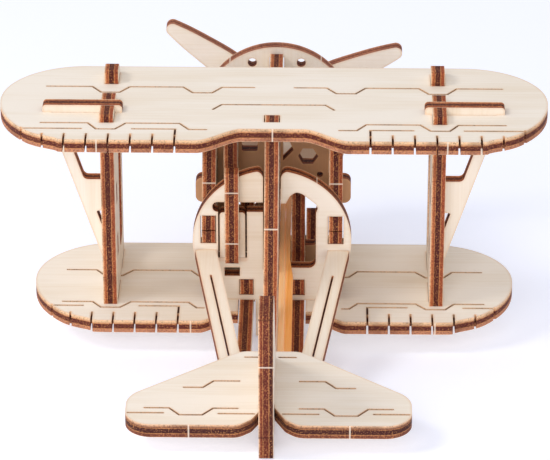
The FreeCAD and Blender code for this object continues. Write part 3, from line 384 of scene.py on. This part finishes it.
def bamboo(name, axis, seed):
    """A round dowel: long fibres along its axis, end pores, a little gloss."""
    s = Shader("bamboo_" + name)
    point, surface_normal = s.surface()
    side = axis.cross(UP if abs(axis.dot(UP)) < 0.7 else LEFT).normalized()
    fibre_at = s.combine(
        s.math("MULTIPLY_ADD", s.along(point, axis), 0.06, seed),
        s.math("MULTIPLY", s.along(point, side), 3.0),
        s.math("MULTIPLY", s.along(point, axis.cross(side)), 3.0))
    fibres = s.noise(fibre_at, 4.0, 0.6)
    colour = s.ramp(fibres, [
        (0.25, srgb(176, 132, 78)), (0.5, srgb(222, 186, 130)), (0.75, srgb(238, 210, 160))])
    end_grain = s.step(s.facing(surface_normal, axis), 0.5, 0.8, 0.0, 0.5)
    s.set(
        Base_Color=s.mix(end_grain, colour, srgb(188, 142, 90)),
        Roughness=s.step(fibres, 0.3, 0.7, 0.5, 0.36),
        Normal=s.bump(fibres, 0.3, 0.05 * MM))
    return s.material


DOWELS = (("prop_shaft", NOSE), ("axle", LEFT), ("engine_rods", NOSE), ("tail_peg", UP))
for index, (node, axis) in enumerate(DOWELS):
    dress(node, bamboo(node, axis, 5.0 * index))


# ---- Rubber band ----------------------------------------------------------------------------

# the level frame in mm; "along" is the distance forward from the peg on the band's own slope
BAND_WIDTH = 1.65
BAND_THICKNESS = 1.15
PEG = (-44.0, -4.35, 3.2)           # where the band goes round its tail peg
HOOK = (66.0, 0.0, 19.8)            # middle of the hook's bar
BESIDE_HOOK = 3.08                  # Y of a strand beside the hook
INNER_Y, OUTER_Y = -2.9, -4.52      # Y of the two strands beside the keel
TAIL_Y = -6.05                      # Y of the outer strand at the peg
TAIL_END = -1.475                   # along, of the loop's rear end
STRANDS_MEET = 9.0                  # along; from here forward the two strands lie together
KEEL_END_X = 49.5                   # forward of here the strands spread out to the hook
PAST_BAR = 1.6                      # from the bar's middle forward to the band's inner edge
BEHIND_BAR = 2.5                    # from the bar's middle back to the inner strand's last bend
SWELL_IN = (2.0, 8.0)               # along, where the free stretch of the band begins
SWELL_OUT = (60.0, 52.0)            # along, where it ends, at the rear bulkhead
OUTER_STRAND_Y = -3.7               # strands beyond this Y are the outer one
INNER_LOOK = (0.17, 0.20)           # swelling, and shift to the right, of the free inner strand
OUTER_LOOK = (0.34, 0.62)           # the same for the free outer strand
SECTION_POINTS = 14
SECTION_POWER = 0.55                # rounds the section's corners: 1 is an ellipse, 0 a rectangle
PATH_STEP = 2.0                     # mm between points on the straights
ARC_STEPS = 6.0                     # points for each radian of an arc


def rounded_path(corners):
    """Closed path through rounded corners (along, y, radius), with points along its straights."""
    arcs = []
    count = len(corners)
    for k in range(count):
        x, y, radius = corners[k]
        corner = Vector((x, y))
        before = (Vector(corners[k - 1][:2]) - corner).normalized()
        after = (Vector(corners[(k + 1) % count][:2]) - corner).normalized()
        half = before.angle(after) / 2.0
        reach = radius / math.tan(half)
        centre = corner + (before + after).normalized() * (radius / math.sin(half))
        start = corner + before * reach - centre
        end = corner + after * reach - centre
        turn = start.angle_signed(end)
        pieces = max(3, int(abs(turn) * ARC_STEPS))
        arcs.append([
            centre + Matrix.Rotation(-turn * i / pieces, 2) @ start for i in range(pieces + 1)])
    path = []
    for k in range(count):
        path += arcs[k]
        start, end = arcs[k][-1], arcs[(k + 1) % count][0]
        pieces = int((end - start).length / PATH_STEP)
        path += [start.lerp(end, i / pieces) for i in range(1, pieces)]
    return path


def section():
    """Points round the band's section: an oblong with well-rounded corners, (across, up)."""
    points = []
    for k in range(SECTION_POINTS):
        turn = 2.0 * math.pi * k / SECTION_POINTS
        c, s = math.cos(turn), math.sin(turn)
        points.append((
            BAND_WIDTH / 2.0 * math.copysign(abs(c) ** SECTION_POWER, c),
            BAND_THICKNESS / 2.0 * math.copysign(abs(s) ** SECTION_POWER, s)))
    return points


def fade(value, start, end):
    """0 before start, 1 beyond end and even between them."""
    return min(1.0, max(0.0, (value - start) / (end - start)))


def make_band():
    """Stretched loop: through the hook's eye, beside the keel and round the tail peg."""
    rise = math.atan2(HOOK[2] - PEG[2], HOOK[0] - PEG[0])
    cos, sin = math.cos(rise), math.sin(rise)

    def along(x):
        return (x - PEG[0]) / cos

    front = along(HOOK[0] + PAST_BAR + BAND_WIDTH / 2.0)
    bend = along(KEEL_END_X)
    path = rounded_path([
        (front, BESIDE_HOOK, 1.05), (front, -BESIDE_HOOK, 1.05), (bend, OUTER_Y, 60.0),
        (STRANDS_MEET, OUTER_Y, 15.0), (TAIL_END, TAIL_Y, 1.2), (TAIL_END, INNER_Y, 1.2),
        (bend, INNER_Y, 12.0), (along(HOOK[0] - BEHIND_BAR), BESIDE_HOOK, 8.0)])
    ring = section()
    verts, faces = [], []
    count = len(path)
    for k, spot in enumerate(path):
        ahead = (path[(k + 1) % count] - path[k - 1]).normalized()
        out = Vector((-ahead.y, ahead.x))
        loose = fade(spot.x, *SWELL_OUT) * fade(spot.x, *SWELL_IN)
        swelling, shift = OUTER_LOOK if spot.y < OUTER_STRAND_Y else INNER_LOOK
        swell = 0.98 + 0.02 * math.sin(0.9 * k) + swelling * loose
        spot = spot - Vector((0.0, shift * loose))
        for wide, high in ring:
            p = spot + out * (wide * swell)
            verts.append(place(
                PEG[0] + p.x * cos - high * sin, p.y, PEG[2] + p.x * sin + high * cos))
    for k in range(count):
        here, ahead = k * SECTION_POINTS, (k + 1) % count * SECTION_POINTS
        for j in range(SECTION_POINTS):
            beside = (j + 1) % SECTION_POINTS
            faces.append((here + j, here + beside, ahead + beside, ahead + j))
    mesh = bpy.data.meshes.new("band_loop")
    mesh.from_pydata(verts, [], faces)
    built = bmesh.new()
    built.from_mesh(mesh)
    bmesh.ops.recalc_face_normals(built, faces=built.faces)
    built.to_mesh(mesh)
    built.free()
    for polygon in mesh.polygons:
        polygon.use_smooth = True
    band = bpy.data.objects.new("band_loop", mesh)
    bpy.context.scene.collection.objects.link(band)
    band.data.materials.append(amber())
    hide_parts("rubber_band")
    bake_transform(band)


STRAND_SEAM_Y = -3.95               # where the two strands touch


def amber():
    """Natural rubber: amber, with painted shade browning it towards the nose, a painted highlight
    along the strands' seam, faint lengthwise marks and a painted glow.
    """
    s = Shader("amber_rubber")
    point, _ = s.surface()
    u, v, w = s.along(point, NOSE), s.along(point, LEFT), s.along(point, UP)
    mark_at = s.combine(
        s.math("MULTIPLY", u, 0.05), s.math("MULTIPLY", v, 1.6), s.math("MULTIPLY", w, 0.4))
    marks = s.noise(mark_at, 4.0, 0.6)
    pale = s.ramp(marks, [
        (0.3, srgb(254, 184, 118)), (0.5, srgb(255, 200, 140)), (0.7, srgb(255, 210, 158))])
    deep = s.ramp(marks, [
        (0.3, srgb(234, 146, 42)), (0.5, srgb(246, 164, 76)), (0.7, srgb(250, 184, 110))])
    colour = s.mix(s.step(v, -4.4, -3.7), deep, pale)
    # painted highlight: a pale line along the seam where the two strands touch
    seam_highlight_reach = s.math("ABSOLUTE", s.math("SUBTRACT", v, STRAND_SEAM_Y))
    colour = s.mix(s.step(seam_highlight_reach, 0.28, 0.12, 0.0, 0.6), colour, srgb(252, 216, 168))
    # painted shade: the band darkens to brown towards the nose, where it lies in shade
    level_x = s.math("SUBTRACT", u, SHIFT.dot(NOSE) / MM)
    colour = s.mix(s.step(level_x, 12.0, 32.0, 0.0, 0.7), colour, srgb(212, 128, 72))
    s.set(
        Base_Color=colour,
        Roughness=0.42,
        # painted glow: the emission lifts the band's colour in its shaded parts, though the band
        # is no lamp
        Emission_Color=(0.95, 0.50, 0.22, 1.0),
        Emission_Strength=0.14,
        Subsurface_Weight=0.15,
        Subsurface_Radius=(1.0, 0.45, 0.15),
        Subsurface_Scale=0.6 * MM,
        Normal=s.bump(marks, 0.3, 0.05 * MM))
    return s.material


make_band()

# ---- Studio ---------------------------------------------------------------------------------

FLOOR_HALF = 6.0                    # metres
FLOOR_GAP = 0.0002                  # below the wheels and the skid


def backdrop():
    """A plain pale floor that gives off some light, as a lit paper roll does."""
    mesh = bpy.data.meshes.new("studio_floor")
    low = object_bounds()[0].z - FLOOR_GAP
    mesh.from_pydata(
        [(-FLOOR_HALF, -FLOOR_HALF, low), (FLOOR_HALF, -FLOOR_HALF, low),
         (FLOOR_HALF, FLOOR_HALF, low), (-FLOOR_HALF, FLOOR_HALF, low)], [], [(0, 1, 2, 3)])
    floor = bpy.data.objects.new("studio_floor", mesh)
    bpy.context.scene.collection.objects.link(floor)
    s = Shader("studio_paper")
    s.set(
        Base_Color=(0.89, 0.90, 0.97, 1.0),
        Emission_Color=(0.87, 0.90, 1.0, 1.0),
        Emission_Strength=0.28,
        Roughness=0.9,
        Specular_IOR_Level=0.1)
    mesh.materials.append(s.material)


backdrop()


def area_light(name, offset, size, power, colour):
    """A round soft light, offset metres from the model's centre and turned towards it."""
    data = bpy.data.lights.new(name, "AREA")
    data.shape = "DISK"
    data.size = size
    data.energy = power
    data.color = colour
    light = bpy.data.objects.new(name, data)
    light.location = (cad_box[0] + cad_box[1]) / 2 + Vector(offset)
    light.rotation_mode = "QUATERNION"
    light.rotation_quaternion = (-Vector(offset)).to_track_quat("-Z", "Y")
    bpy.context.scene.collection.objects.link(light)


area_light("key", (-0.45, 0.80, 0.90), 0.42, 4.3, (1.0, 0.97, 0.94))
area_light("fill", (-1.12, 0.20, 0.42), 0.6, 4.4, (0.98, 0.98, 1.0))
area_light("top", (0.35, 0.05, 1.1), 0.9, 0.5, (0.98, 0.98, 1.0))

world = bpy.data.worlds.new("studio_air")
world.use_nodes = True
air = world.node_tree.nodes["Background"].inputs
air["Color"].default_value = (0.90, 0.92, 1.0, 1.0)
air["Strength"].default_value = 0.66
bpy.context.scene.world = world
bpy.context.scene.view_settings.view_transform = "Standard"
bpy.context.scene.view_settings.look = "None"

# ---- Camera ---------------------------------------------------------------------------------

PITCH = math.radians(27.0)                      # down from the wings' plane
YAW = math.radians(0.95)                        # to the left of the nose
EYE = Vector((-892.4, -15.9, 484.6))            # level frame, mm
FOCAL, SENSOR = 228.6, 36.0                     # mm

look = Vector((math.cos(PITCH) * math.cos(YAW), math.cos(PITCH) * math.sin(YAW), -math.sin(PITCH)))
side = look.cross(Vector((0.0, 0.0, 1.0))).normalized()
over = side.cross(look)
camera_data = bpy.data.cameras.new("camera")
camera_data.lens = FOCAL
camera_data.sensor_width = SENSOR
camera_data.clip_start, camera_data.clip_end = 0.05, 50.0
camera = bpy.data.objects.new("camera", camera_data)
turned = (TURN @ Matrix((side, over, -look)).transposed()).to_4x4()
camera.matrix_world = Matrix.Translation(place(*EYE)) @ turned
bpy.context.scene.collection.objects.link(camera)
bpy.context.scene.camera = camera

bpy.context.view_layer.update()
